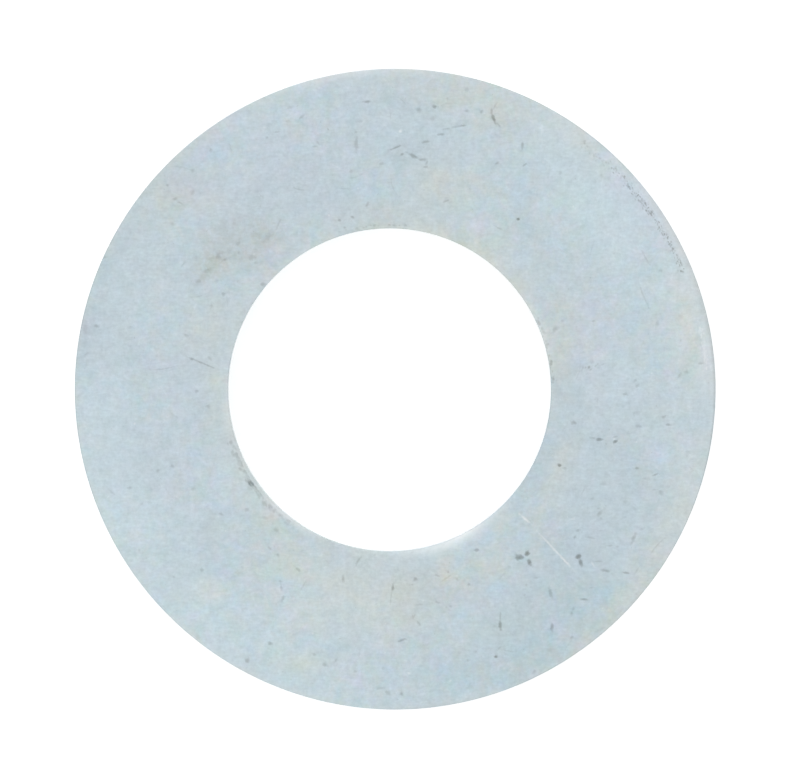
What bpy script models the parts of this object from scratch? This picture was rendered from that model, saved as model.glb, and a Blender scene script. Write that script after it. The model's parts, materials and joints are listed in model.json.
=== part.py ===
"""Flat washer: one ring of sheet steel, blanked and pierced in a press, then zinc plated.

Narrow-pattern plain washer for a half-inch bolt.  Units are metres and +Z is up.  The washer lies
on the XY plane with its flat burr side down and its rolled side up.  The origin is the centre of
the round blank's underside, and the hole sits a little off that centre, as the punch left it.
"""
import math

import bmesh
import bpy

# Driving dimensions
OUTER_DIAMETER = 0.02699        # 1 1/16 in
HOLE_DIAMETER = 0.01361         # 17/32 in nominal, 13.49 mm, within its +0.38 / -0.13 mm limits
THICKNESS = 0.00241             # 0.095 in
HOLE_OFFSET_X = -0.00024        # the punch's set-over from the blank's centre
HOLE_OFFSET_Y = -0.00003

# Sheared edges, as fractions of the sheet's thickness
ROLL_WIDTH = 0.07 * THICKNESS   # how far the pulled-down lip reaches into the face
ROLL_DEPTH = 0.05 * THICKNESS   # how far it drops at the wall
LAND_FOOT = 0.56 * THICKNESS    # height at which the smooth wall ends and the torn wall begins
TEAR_SLOPE = 0.035 * THICKNESS  # how far the torn wall recedes into the steel by its foot
FOOT_ROUND = 0.04 * THICKNESS   # the lower edge, rounded by tumbling

# How finely the round shapes are divided
TURN_STEPS = 144
ROLL_STEPS = 5
FOOT_STEPS = 3
MERGE_DISTANCE = 0.00001
SHARP_ANGLE = math.radians(35.0)

# The punch reaches past both faces so that it cuts cleanly through
PUNCH_OVERTRAVEL = 0.0010

# Zinc plate under a clear blue passivate
PLATE_COLOUR = (0.55, 0.64, 0.69, 1.0)
PLATE_ROUGHNESS = 0.42
PLATE_METALLIC = 1.0


def clear_scene():
    """Remove every object, so that the script starts from nothing."""
    for item in list(bpy.data.objects):
        bpy.data.objects.remove(item, do_unlink=True)


def new_collection(name):
    """Make a collection under the scene and return it."""
    collection = bpy.data.collections.new(name)
    bpy.context.scene.collection.children.link(collection)
    return collection


def zinc_plate():
    """The plated surface's material."""
    material = bpy.data.materials.new("zinc_plate")
    material.use_nodes = True
    shader = material.node_tree.nodes["Principled BSDF"]
    shader.inputs["Base Color"].default_value = PLATE_COLOUR
    shader.inputs["Roughness"].default_value = PLATE_ROUGHNESS
    shader.inputs["Metallic"].default_value = PLATE_METALLIC
    material.diffuse_color = PLATE_COLOUR
    return material


def quarter_arc(corner, width, depth, turn_from, steps):
    """Points on a quarter of an ellipse about `corner`, from the angle `turn_from` clockwise."""
    points = []
    for step in range(steps + 1):
        angle = turn_from - 0.5 * math.pi * step / steps
        points.append((corner[0] + width * math.cos(angle), corner[1] + depth * math.sin(angle)))
    return points


def sheared_wall(radius, outward):
    """The (radius, height) points down a sheared edge, from the upper face to the lower one.

    `outward` is 1 for the blank's rim, whose steel lies inside the wall, and -1 for the hole.
    """
    roll_corner = (ROLL_WIDTH, THICKNESS - ROLL_DEPTH)
    foot_corner = (TEAR_SLOPE + FOOT_ROUND, FOOT_ROUND)
    roll = quarter_arc(roll_corner, -ROLL_WIDTH, ROLL_DEPTH, 0.5 * math.pi, ROLL_STEPS)
    foot = quarter_arc(foot_corner, -FOOT_ROUND, FOOT_ROUND, 0.0, FOOT_STEPS)
    wall = roll + [(0.0, LAND_FOOT)] + foot
    return [(radius - outward * inset, height) for inset, height in wall]


def turned_object(name, profile, collection):
    """Turn a (radius, height) profile, listed from top to bottom, into a solid about +Z."""
    mesh = bpy.data.meshes.new(name)
    outline = bmesh.new()
    points = [outline.verts.new((radius, 0.0, height)) for radius, height in profile]
    for upper, lower in zip(points, points[1:]):
        outline.edges.new((upper, lower))
    outline.to_mesh(mesh)
    outline.free()
    item = bpy.data.objects.new(name, mesh)
    collection.objects.link(item)
    turning = item.modifiers.new("turning", 'SCREW')
    turning.axis = 'Z'
    turning.steps = TURN_STEPS
    turning.render_steps = TURN_STEPS
    turning.use_merge_vertices = True
    turning.merge_threshold = MERGE_DISTANCE
    turning.use_smooth_shade = True
    return item


def blank(collection):
    """The round slug of sheet, sheared on its rim, before the hole is pierced."""
    rim = sheared_wall(0.5 * OUTER_DIAMETER, 1.0)
    profile = [(0.0, THICKNESS)] + rim + [(0.0, 0.0)]
    return turned_object("flat_washer", profile, collection)


def punch(collection):
    """The shape that the piercing punch takes out, with the hole's own sheared wall."""
    wall = sheared_wall(0.5 * HOLE_DIAMETER, -1.0)
    mouth_radius = wall[0][0]
    foot_radius = wall[-1][0]
    top = THICKNESS + PUNCH_OVERTRAVEL
    bottom = -PUNCH_OVERTRAVEL
    profile = [(0.0, top), (mouth_radius, top)] + wall + [(foot_radius, bottom), (0.0, bottom)]
    item = turned_object("hole_punch", profile, collection)
    item.location = (HOLE_OFFSET_X, HOLE_OFFSET_Y, 0.0)
    item.hide_render = True
    item.display_type = 'WIRE'
    return item


def pierce(body, cutter):
    """Cut the hole through the blank."""
    hole = body.modifiers.new("hole", 'BOOLEAN')
    hole.operation = 'DIFFERENCE'
    hole.solver = 'EXACT'
    hole.object = cutter


def finish_mesh(item):
    """Apply the modifiers, then shade the turned surfaces smooth and keep the crisp edges crisp."""
    depsgraph = bpy.context.evaluated_depsgraph_get()
    item.data = bpy.data.meshes.new_from_object(item.evaluated_get(depsgraph))
    item.modifiers.clear()
    item.data.shade_smooth()
    item.data.set_sharp_from_angle(angle=SHARP_ANGLE)


def main():
    clear_scene()
    washer_collection = new_collection("flat washer")
    cutter_collection = new_collection("cutters")
    washer = blank(washer_collection)
    washer.data.materials.append(zinc_plate())
    pierce(washer, punch(cutter_collection))
    finish_mesh(washer)


main()
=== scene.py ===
"""Looks for the flat washer: a pierced and blanked steel ring, zinc plated with a pale blue passivate.

One fine mesh stands for the CAD ring.  Its sheared walls, rolled edges, pits, nicks and scratches are
real geometry; the plate's clouding, stains and grain come from its node material.
"""

import json
import math
import random
from collections import namedtuple

import bmesh
import bpy
import numpy as np
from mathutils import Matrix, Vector, noise


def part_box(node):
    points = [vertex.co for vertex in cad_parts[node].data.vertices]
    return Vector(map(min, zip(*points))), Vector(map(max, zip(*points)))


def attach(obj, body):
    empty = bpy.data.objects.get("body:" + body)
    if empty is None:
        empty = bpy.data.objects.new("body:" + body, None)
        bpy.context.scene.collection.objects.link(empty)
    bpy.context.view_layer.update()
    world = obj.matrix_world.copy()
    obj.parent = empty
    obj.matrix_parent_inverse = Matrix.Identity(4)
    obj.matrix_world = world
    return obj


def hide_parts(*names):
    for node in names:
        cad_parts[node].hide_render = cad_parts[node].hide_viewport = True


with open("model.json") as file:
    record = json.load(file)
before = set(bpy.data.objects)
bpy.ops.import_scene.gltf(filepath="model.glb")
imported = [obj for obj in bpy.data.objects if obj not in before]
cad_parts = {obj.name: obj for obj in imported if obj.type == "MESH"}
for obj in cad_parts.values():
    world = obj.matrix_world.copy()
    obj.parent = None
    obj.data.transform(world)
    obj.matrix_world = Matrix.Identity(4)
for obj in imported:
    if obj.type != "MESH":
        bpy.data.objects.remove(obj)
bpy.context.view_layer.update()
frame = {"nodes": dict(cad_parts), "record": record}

MM = 0.001
NODE = "flat_washer"
PIECE = "plated_washer"

# The ring's own sizes come from the frame
LOW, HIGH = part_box(NODE)
OUTER_RADIUS = 0.5 * (HIGH.x - LOW.x)
THICKNESS = HIGH.z - LOW.z

# Divisions of the mesh
TURN_STEPS = 480
UPPER_STEPS = 50
LOWER_STEPS = 10
ROLL_STEPS = 8
NOSE_STEPS = 3
LAND_STEPS = 4
TORN_STEPS = 8
FOOT_STEPS = 3
MARK_CUTS = 3

# Sheared walls
LAND_FOOT = 0.56 * THICKNESS    # height where the burnished land ends and the torn band begins
LAND_WANDER = 0.07              # how far that line strays slowly, as a share of the thickness
LAND_FRAY = 0.05                # and how far it strays quickly
TORN_SLOPE = 0.035 * THICKNESS
TORN_GRAIN = 0.35 * MM
TORN_FINE_GRAIN = 0.14 * MM
TORN_LEDGE = 0.008 * MM
TORN_DEPTH = 0.028 * MM
FOOT_ROUND = 0.04 * THICKNESS

# Rolled lips at the upper edges. A drop is how far a lip falls, as a share of its width.
ROLL_CURVE = 2.0
ROLL_UNEVENNESS = 0.35
ROLL_LAND = 0.4                 # how far the land's burnish comes up the lip
NOSE_RADIUS = 0.02 * MM
RIM_ROLL = 0.05 * MM
RIM_ROLL_DROP = 0.28
HOLE_ROLL = 0.05 * MM
HOLE_ROLL_DROP = 0.17
HOLE_ROLL_STEEPER = 0.12        # added to the hole's drop in the middle of its broad part

# Bulge: a stretch where a rolled lip is wider. width in millimetres, centre and spread in degrees.
Bulge = namedtuple("Bulge", "width centre spread")
RIM_BULGES = [Bulge(0.28, 26.0, 27.0)]
HOLE_BULGES = [Bulge(0.52, 290.0, 19.0), Bulge(0.12, 216.0, 20.0)]

# Mark: a pit, nick or scratch. x, y, length and width in millimetres from the blank's centre, turn in
# degrees from +X, depth in millimetres, dark from 0 to about 1 (below 0 it is a bright mark), and bend,
# how far a long one curves, in millimetres of sideways drift at 1 mm from its middle.
Mark = namedtuple("Mark", "x y length width turn depth dark bend", defaults=(0.0,))

MARKS = [
    # the group of deep pits below and right of the hole
    Mark(5.24, -7.09, 0.36, 0.24, 8, 0.050, 0.95),
    Mark(5.56, -6.91, 0.24, 0.20, 80, 0.040, 1.15),
    Mark(5.66, -7.29, 0.30, 0.16, 95, 0.040, 0.95),
    Mark(7.73, -7.05, 0.26, 0.22, 20, 0.050, 1.00),
    Mark(7.82, -7.30, 0.30, 0.16, 100, 0.040, 0.95),
    Mark(7.57, -6.23, 0.18, 0.12, 60, 0.020, 0.45),
    # short nicks on the lower right
    Mark(8.87, -7.64, 0.40, 0.12, -12, 0.030, 0.60),
    Mark(9.71, -7.73, 0.34, 0.10, -5, 0.025, 0.62),
    Mark(7.98, -8.85, 0.34, 0.10, -4, 0.025, 0.60),
    Mark(4.43, -9.96, 0.42, 0.13, 96, 0.030, 0.85),
    Mark(6.61, -10.03, 0.42, 0.14, 92, 0.030, 0.72),
    Mark(4.25, -11.27, 0.15, 0.13, 0, 0.035, 1.00),
    Mark(6.54, -8.58, 0.48, 0.15, 105, 0.020, 0.50),
    Mark(5.97, -7.94, 0.16, 0.12, 0, 0.010, 0.28),
    Mark(3.44, -6.78, 0.20, 0.18, 0, 0.025, 0.60),
    Mark(10.04, -6.28, 0.44, 0.14, 70, 0.020, 0.45),
    Mark(8.78, -4.00, 0.30, 0.16, 0, 0.008, 0.24),
    Mark(8.02, -4.10, 0.24, 0.14, 20, 0.008, 0.20),
    Mark(8.31, -4.61, 0.22, 0.12, 50, 0.010, 0.32),
    Mark(8.57, -5.03, 0.14, 0.10, 0, 0.010, 0.28),
    Mark(8.61, -5.24, 0.28, 0.18, 40, 0.015, 0.40),
    Mark(8.69, -5.45, 0.16, 0.10, -50, 0.010, 0.34),
    Mark(7.72, -5.94, 0.22, 0.14, 0, 0.012, 0.36),
    Mark(8.23, -6.25, 0.50, 0.09, -12, 0.008, 0.30),
    Mark(8.65, -5.96, 0.35, 0.06, 0, 0.006, 0.24),
    Mark(9.03, -6.59, 0.30, 0.07, 0, 0.010, 0.42),
    Mark(9.37, -6.63, 0.14, 0.12, 0, 0.010, 0.34),
    Mark(10.14, -6.08, 0.18, 0.15, 60, 0.010, 0.32),
    Mark(10.38, -5.89, 0.22, 0.13, 20, 0.010, 0.32),
    Mark(10.93, -4.23, 0.20, 0.07, 0, 0.008, 0.30),
    Mark(10.51, -3.76, 0.32, 0.07, -5, 0.008, 0.30),
    Mark(9.66, -4.73, 0.20, 0.18, 0, 0.008, 0.20),
    Mark(10.08, -5.03, 0.24, 0.14, -40, 0.008, 0.20),
    Mark(9.62, -5.41, 0.40, 0.12, 30, 0.008, 0.20),
    Mark(8.57, -7.25, 0.36, 0.08, 0, 0.010, 0.34),
    Mark(8.27, -8.36, 0.22, 0.07, 0, 0.008, 0.28),
    Mark(7.51, -9.25, 0.16, 0.12, 60, 0.012, 0.36),
    Mark(7.44, -9.44, 0.22, 0.12, 80, 0.012, 0.36),
    Mark(8.65, -10.13, 0.50, 0.12, 30, 0.010, 0.26),
    Mark(12.36, -2.67, 0.26, 0.18, 0, 0.008, 0.24),
    Mark(7.49, -5.45, 0.20, 0.12, 0, 0.004, -0.14),
    # right of the hole
    Mark(8.61, -2.11, 0.30, 0.15, -3, 0.035, 0.80),
    Mark(8.34, -2.06, 0.26, 0.09, -8, 0.010, 0.40),
    Mark(9.28, -2.20, 0.20, 0.16, 30, 0.035, 0.95),
    Mark(9.28, -2.00, 0.26, 0.07, 8, 0.010, 0.40),
    Mark(9.24, -2.09, 0.10, 0.08, 0, 0.006, -0.32),
    Mark(6.92, -3.21, 0.15, 0.13, 0, 0.035, 1.05),
    Mark(7.15, -3.32, 0.20, 0.12, 0, 0.015, 0.32),
    Mark(10.25, -1.55, 0.26, 0.16, 0, 0.015, 0.45),
    Mark(11.31, -1.17, 0.20, 0.14, 0, 0.020, 0.50),
    Mark(11.52, -1.50, 0.24, 0.10, -5, 0.020, 0.58),
    Mark(10.94, -3.60, 0.28, 0.08, 20, 0.015, 0.62),
    Mark(10.19, -3.33, 0.20, 0.10, 0, 0.015, 0.62),
    Mark(11.18, -4.34, 0.22, 0.20, 0, 0.020, 0.40),
    Mark(7.55, -1.41, 0.26, 0.16, -20, 0.015, 0.55),
    Mark(12.90, 1.08, 0.34, 0.10, 0, 0.030, 0.45),
    Mark(11.98, 0.58, 0.22, 0.14, 60, 0.015, 0.30),
    Mark(10.47, 3.90, 1.50, 0.06, -67, 0.010, 0.30, 0.12),
    Mark(10.55, 5.52, 0.80, 0.07, -60, 0.010, 0.32, 0.10),
    Mark(9.70, -0.20, 0.20, 0.14, 0, 0.015, 0.42),
    Mark(10.10, 0.35, 0.22, 0.12, 50, 0.015, 0.35),
    Mark(7.91, 0.92, 0.12, 0.07, 80, 0.010, 0.46),
    Mark(8.16, 0.92, 0.14, 0.09, 85, 0.010, 0.60),
    Mark(8.24, 0.83, 0.18, 0.06, 25, 0.010, 0.48),
    Mark(8.44, 0.97, 0.13, 0.06, 30, 0.010, 0.42),
    Mark(8.53, 1.06, 0.11, 0.06, 80, 0.008, 0.38),
    Mark(8.77, 1.05, 0.24, 0.05, 25, 0.008, 0.26),
    Mark(8.02, 0.91, 0.10, 0.07, 70, 0.008, 0.40),
    Mark(7.86, 0.81, 0.12, 0.06, 40, 0.006, 0.30),
    Mark(7.70, 0.71, 0.09, 0.06, 0, 0.004, -0.18),
    Mark(8.46, 0.86, 0.08, 0.06, 0, 0.004, -0.18),
    Mark(8.52, -0.50, 0.30, 0.10, 90, 0.010, 0.26),
    Mark(10.20, 0.14, 0.20, 0.12, 50, 0.012, 0.38),
    Mark(12.28, 0.72, 0.20, 0.14, 0, 0.012, 0.34),
    Mark(10.15, -1.02, 0.34, 0.20, 10, 0.008, 0.22),
    Mark(11.04, 2.75, 0.30, 0.16, 80, 0.008, 0.28),
    Mark(8.36, 2.86, 0.16, 0.10, 0, 0.010, 0.36),
    Mark(7.05, 2.88, 0.20, 0.10, 0, 0.010, 0.36),
    Mark(6.72, 2.50, 0.28, 0.20, 60, 0.012, 0.36),
    # the feathery painted highlight on the right rim's rolled lip, where it reflects the light, over faint
    # dents
    Mark(13.02, 1.75, 1.90, 0.24, 92, 0.004, -0.19),
    Mark(13.03, 1.45, 0.90, 0.10, 90, 0.004, -0.34),
    Mark(12.95, 0.80, 2.60, 0.55, 92, 0.002, -0.11),
    # the bruise at the lower left of the hole
    Mark(-6.10, -3.96, 0.32, 0.19, 122, 0.040, 0.85),
    # above the hole
    Mark(-1.17, 12.11, 0.34, 0.11, 8, 0.020, 0.72),
    Mark(1.66, 11.89, 0.18, 0.17, 0, 0.025, 0.75),
    Mark(1.00, 11.77, 0.26, 0.22, 0, 0.015, 0.42),
    Mark(3.02, 11.71, 0.18, 0.15, 0, 0.015, 0.42),
    Mark(3.64, 11.67, 0.20, 0.16, 60, 0.015, 0.55),
    Mark(3.02, 12.63, 0.24, 0.20, 0, 0.010, 0.34),
    Mark(2.84, 11.09, 0.40, 0.09, 8, 0.020, 0.66),
    Mark(2.52, 11.03, 0.30, 0.07, 8, 0.015, 0.42),
    Mark(2.18, 10.96, 0.32, 0.07, 6, 0.010, 0.42),
    Mark(1.93, 10.73, 0.36, 0.10, 2, 0.010, 0.62),
    Mark(1.30, 10.41, 0.36, 0.11, 4, 0.020, 0.62),
    Mark(0.05, 10.18, 0.50, 0.08, 22, 0.020, 0.72),
    Mark(0.22, 10.87, 0.15, 0.13, 0, 0.010, -0.44),
    Mark(0.31, 9.89, 0.16, 0.12, 30, 0.020, 0.60),
    Mark(0.78, 9.82, 0.50, 0.15, -25, 0.025, 0.70),
    Mark(1.15, 9.67, 0.42, 0.13, -2, 0.015, 0.55),
    Mark(0.50, 9.96, 0.24, 0.08, -20, 0.010, 0.24),
    Mark(1.33, 9.52, 0.18, 0.11, 70, 0.015, 0.45),
    Mark(1.29, 9.36, 0.22, 0.11, 20, 0.015, 0.48),
    Mark(-0.57, 9.49, 0.18, 0.15, 0, 0.010, 0.32),
    Mark(4.15, 11.38, 0.44, 0.12, 112, 0.035, 0.98),
    Mark(4.07, 11.70, 0.34, 0.10, 86, 0.020, 0.60),
    Mark(4.36, 11.12, 0.30, 0.08, 130, 0.015, 0.50),
    Mark(4.20, 11.92, 0.42, 0.07, 58, 0.010, 0.40),
    Mark(5.36, 10.26, 0.36, 0.12, 88, 0.020, 0.58),
    Mark(5.45, 9.44, 0.26, 0.09, 35, 0.015, 0.60),
    Mark(5.19, 7.16, 0.16, 0.14, 0, 0.035, 1.15),
    Mark(-1.64, 10.30, 0.62, 0.18, 88, 0.010, 0.42),
    Mark(2.16, 7.92, 0.34, 0.07, 20, 0.010, 0.56),
    Mark(-3.93, 11.46, 0.36, 0.10, 40, 0.015, 0.50),
    Mark(-4.98, 10.83, 0.20, 0.07, 10, 0.010, 0.38),
    Mark(-5.39, 10.59, 0.14, 0.12, 0, 0.010, 0.40),
    Mark(-3.38, 10.22, 0.26, 0.08, 8, 0.010, 0.40),
    Mark(-3.24, 10.37, 0.20, 0.08, -50, 0.010, 0.32),
    Mark(-4.42, 11.86, 0.30, 0.10, 20, 0.008, 0.22),
    Mark(-4.53, 11.29, 0.22, 0.10, 0, 0.008, 0.22),
    Mark(-7.76, 10.07, 0.16, 0.12, 60, 0.012, 0.42),
    Mark(-8.51, 9.22, 0.20, 0.14, 80, 0.012, 0.34),
    Mark(-9.02, 9.33, 0.20, 0.12, 40, 0.008, 0.26),
    Mark(-9.59, 8.59, 0.14, 0.12, 0, 0.012, 0.42),
    Mark(-9.27, 8.01, 0.17, 0.14, 0, 0.012, 0.50),
    Mark(-9.06, 7.85, 0.24, 0.08, -30, 0.010, 0.36),
    Mark(-8.53, 8.28, 0.26, 0.20, 70, 0.010, 0.32),
    Mark(-9.38, 6.96, 0.18, 0.14, 0, 0.010, 0.30),
    Mark(-1.65, 10.82, 0.13, 0.12, 0, 0.010, 0.36),
    Mark(-1.85, 9.18, 0.20, 0.12, 90, 0.010, 0.34),
    Mark(-1.89, 8.64, 0.16, 0.10, 90, 0.008, 0.24),
    Mark(-1.43, 11.28, 0.18, 0.12, 0, 0.008, 0.26),
    Mark(-1.17, 7.78, 0.28, 0.11, 55, 0.012, 0.40),
    Mark(-2.33, 7.12, 0.14, 0.11, 0, 0.012, 0.60),
    Mark(-1.79, 7.25, 0.18, 0.12, -30, 0.012, 0.58),
    # small spots in the stain above and left of the hole
    Mark(-6.77, 6.98, 0.16, 0.14, 0, 0.010, 0.20),
    Mark(-7.46, 5.61, 0.34, 0.22, 90, 0.012, 0.38),
    Mark(-7.18, 5.45, 0.26, 0.12, 20, 0.015, 0.40),
    Mark(-6.04, 5.57, 0.28, 0.24, 0, 0.012, 0.38),
    Mark(-5.86, 5.32, 0.16, 0.14, 0, 0.010, 0.22),
    Mark(-5.34, 6.41, 0.36, 0.22, 30, 0.010, 0.32),
    Mark(-4.92, 6.91, 0.60, 0.08, 65, 0.010, 0.28),
    Mark(-4.17, 6.54, 0.18, 0.16, 0, 0.010, 0.24),
    Mark(-8.29, 4.54, 0.24, 0.20, 0, 0.012, 0.34),
    Mark(-7.90, 4.97, 0.34, 0.24, 10, 0.012, 0.36),
    Mark(-7.50, 4.57, 0.18, 0.16, 0, 0.010, 0.24),
    Mark(-7.23, 4.01, 0.18, 0.17, 0, 0.020, 0.42),
    Mark(-5.57, 4.41, 0.24, 0.20, 0, 0.020, 0.50),
    # left of the hole
    Mark(-8.18, 1.12, 1.35, 0.07, -23, 0.020, 0.58),
    Mark(-12.58, 2.65, 0.24, 0.12, -20, 0.020, 0.42),
    Mark(-8.81, 2.27, 0.26, 0.14, -25, 0.015, 0.38),
    Mark(-8.34, -0.09, 0.18, 0.14, 0, 0.015, 0.38),
    Mark(-7.85, -0.73, 0.20, 0.16, 0, 0.015, 0.42),
    Mark(-11.17, -4.17, 0.20, 0.16, 0, 0.020, 0.34),
    Mark(-13.05, 2.56, 0.36, 0.26, 80, 0.008, 0.26),
    Mark(-11.19, 2.60, 0.20, 0.16, 0, 0.008, 0.26),
    Mark(-7.75, 3.49, 0.20, 0.16, 0, 0.010, 0.34),
    Mark(-8.55, 1.27, 0.16, 0.11, -20, 0.015, 0.66),
    Mark(-7.80, 1.30, 0.30, 0.10, -50, 0.010, 0.34),
    Mark(-9.85, 0.84, 1.30, 0.055, 6, 0.006, 0.30, 0.22),
    Mark(-13.02, 1.47, 0.36, 0.12, 40, 0.008, 0.24),
    Mark(-9.36, -1.06, 0.30, 0.08, -40, 0.008, 0.26),
    Mark(-8.51, -4.21, 0.20, 0.14, 0, 0.010, 0.34),
    Mark(-7.31, -5.28, 0.24, 0.12, -30, 0.012, 0.40),
    Mark(-6.24, -5.07, 0.22, 0.19, 0, 0.012, 0.42),
    Mark(-5.50, -5.42, 0.30, 0.14, -35, 0.008, 0.28),
    Mark(-5.02, -5.93, 0.32, 0.19, -30, 0.010, 0.38),
    # below the hole
    Mark(-6.24, -11.44, 0.24, 0.18, -15, 0.030, 0.52),
    Mark(-5.25, -10.72, 0.20, 0.17, 0, 0.025, 0.65),
    Mark(-2.94, -11.61, 0.20, 0.18, 0, 0.020, 0.46),
    Mark(-2.19, -7.98, 0.34, 0.12, 95, 0.020, 0.48),
    Mark(-1.55, -7.24, 0.50, 0.10, 60, 0.015, 0.42),
    Mark(-0.10, -8.38, 0.28, 0.11, 88, 0.025, 0.72),
    Mark(0.85, -8.00, 0.18, 0.17, 0, 0.020, 0.60),
    Mark(0.30, -10.57, 0.36, 0.10, 18, 0.020, 0.60),
    Mark(-4.09, -7.60, 0.32, 0.12, -45, 0.015, 0.45),
    Mark(0.28, -12.83, 0.17, 0.16, 0, 0.020, 0.58),
    Mark(-5.28, -6.70, 0.20, 0.12, -40, 0.012, 0.42),
    Mark(-4.93, -7.01, 0.26, 0.10, -55, 0.010, 0.40),
    Mark(-4.84, -8.09, 0.20, 0.12, -10, 0.012, 0.50),
    Mark(-4.80, -8.36, 0.26, 0.11, 90, 0.010, 0.36),
    Mark(-4.72, -8.82, 0.30, 0.14, 70, 0.010, 0.38),
    Mark(-8.30, -10.43, 0.30, 0.20, -40, 0.008, 0.24),
    Mark(-3.85, -8.25, 0.45, 0.08, 60, 0.008, 0.26),
    Mark(-3.90, -8.78, 1.20, 0.06, -5, 0.006, 0.20),
    Mark(1.80, -7.85, 0.24, 0.10, -20, 0.010, 0.36),
    Mark(2.20, -7.93, 0.52, 0.07, 35, 0.010, 0.30),
    Mark(2.60, -8.00, 0.26, 0.07, -50, 0.010, 0.24),
    Mark(3.12, -8.22, 0.14, 0.12, 0, 0.012, 0.42),
    Mark(0.80, -9.56, 0.22, 0.10, 60, 0.010, 0.40),
    Mark(1.00, -9.86, 0.26, 0.10, -55, 0.010, 0.38),
    Mark(1.82, -8.98, 0.24, 0.12, -20, 0.010, 0.34),
    Mark(2.33, -9.14, 0.12, 0.10, 0, 0.010, 0.34),
    Mark(1.06, -9.07, 0.24, 0.10, 0, 0.008, 0.24),
    Mark(-3.42, -11.18, 0.13, 0.12, 0, 0.010, 0.36),
    Mark(-2.50, -11.42, 0.26, 0.12, 50, 0.010, 0.38),
    Mark(-0.52, -11.75, 0.14, 0.12, 0, 0.010, 0.30),
    Mark(-0.30, -12.80, 0.28, 0.18, -30, 0.012, 0.38),
    Mark(-0.62, -12.60, 0.32, 0.12, 10, 0.010, 0.28),
    Mark(3.06, -11.42, 0.15, 0.12, 0, 0.010, 0.32),
    Mark(4.52, -7.85, 0.50, 0.08, 45, 0.008, 0.24),
    Mark(5.53, -8.24, 0.14, 0.10, 0, 0.010, 0.30),
    Mark(4.43, -9.58, 0.40, 0.07, 88, 0.012, 0.50),
    Mark(4.20, -9.98, 0.16, 0.12, 0, 0.010, 0.28),
    Mark(4.39, -10.91, 0.26, 0.10, 45, 0.010, 0.34),
    Mark(6.50, -10.97, 0.28, 0.18, 0, 0.008, 0.26),
    Mark(5.86, -11.90, 0.24, 0.15, 60, 0.010, 0.32),
    Mark(3.17, -12.54, 0.28, 0.18, 0, 0.008, 0.22),
    Mark(0.59, -11.96, 0.10, 0.10, 0, 0.004, -0.26),
    Mark(2.33, -12.28, 0.12, 0.11, 0, 0.004, -0.30),
    Mark(-3.47, -10.28, 0.10, 0.09, 0, 0.004, -0.22),
    Mark(2.62, -7.86, 0.10, 0.08, 0, 0.004, -0.22),
    Mark(4.60, -11.75, 0.12, 0.10, 0, 0.004, -0.20),
    Mark(4.48, -9.08, 0.30, 0.10, -60, 0.004, -0.14),
    # the bright scratches right of the hole's lower edge
    Mark(5.48, -5.46, 0.60, 0.10, -40, 0.012, -0.43),
    Mark(6.73, -6.77, 2.20, 0.09, -47, 0.012, -0.36),
    Mark(7.12, -7.19, 0.80, 0.10, -47, 0.014, -0.46),
    Mark(8.34, -7.38, 0.40, 0.08, -60, 0.008, -0.26),
]

# How marks are pressed into the upper face
FACE_SLACK = 0.001 * MM         # a point this close under the top belongs to the upper face
MARK_ROOM = 0.17                # finely divided margin round a mark, in millimetres
RAGGED_GRAIN = 0.11 * MM        # size and strength of the raggedness of a mark's outline
RAGGEDNESS = 0.55
WAVE_GRAIN = 2.2 * MM           # the face's own faint waviness
WAVE_DEPTH = 0.004 * MM

# Scattered small wear, thrown at random from one seed between two radii in millimetres
WEAR_SEED = 41
WEAR_FROM = 7.4
WEAR_TO = 13.0
PIT_SIZES = (0.07, 0.17)
PIT_DEPTH = 0.012
HAIRLINE_LENGTHS = (0.3, 1.2)
HAIRLINE_WIDTH = 0.055
HAIRLINE_DEPTH = 0.005
HAIRLINE_DARKS = (0.20, 0.24, 0.32, -0.09)
GLINT_SIZES = (0.06, 0.10)
GLINT_DEPTH = 0.004
SCATTERED_PITS = 34
SCATTERED_HAIRLINES = 34
SCATTERED_GLINTS = 10

# Crease: a broken line of small dents along an arc, where a rolled lip meets the face. radius in
# millimetres about the centre, start and stop in degrees, size the dents' own, spread their stray.
Crease = namedtuple("Crease", "about radius start stop count size stretch spread depth dark")
CREASES = [
    Crease("rim", 13.09, 22.0, 41.0, 200, 0.034, 1.7, 0.08, 0.012, 1.08),
    Crease("rim", 13.10, 34.0, 38.0, 16, 0.045, 1.7, 0.06, 0.012, 1.10),
    Crease("rim", 13.06, 41.0, 46.0, 34, 0.038, 1.6, 0.08, 0.010, 0.90),
    Crease("rim", 13.00, 46.0, 53.0, 26, 0.045, 1.6, 0.08, 0.010, 0.50),
    # painted highlight: a broken bright streak along the right rim's rolled lip, where it reflects the
    # light
    Crease("rim", 13.14, 3.5, 11.5, 60, 0.05, 2.6, 0.06, 0.004, -0.36),
    Crease("hole", 7.03, 198.0, 233.0, 80, 0.110, 1.7, 0.06, 0.010, 0.40),
    Crease("hole", 6.96, 84.0, 110.0, 18, 0.080, 1.6, 0.09, 0.010, 0.36),
    Crease("hole", 6.90, 2.0, 26.0, 30, 0.075, 1.6, 0.04, 0.010, 0.56),
]
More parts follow.
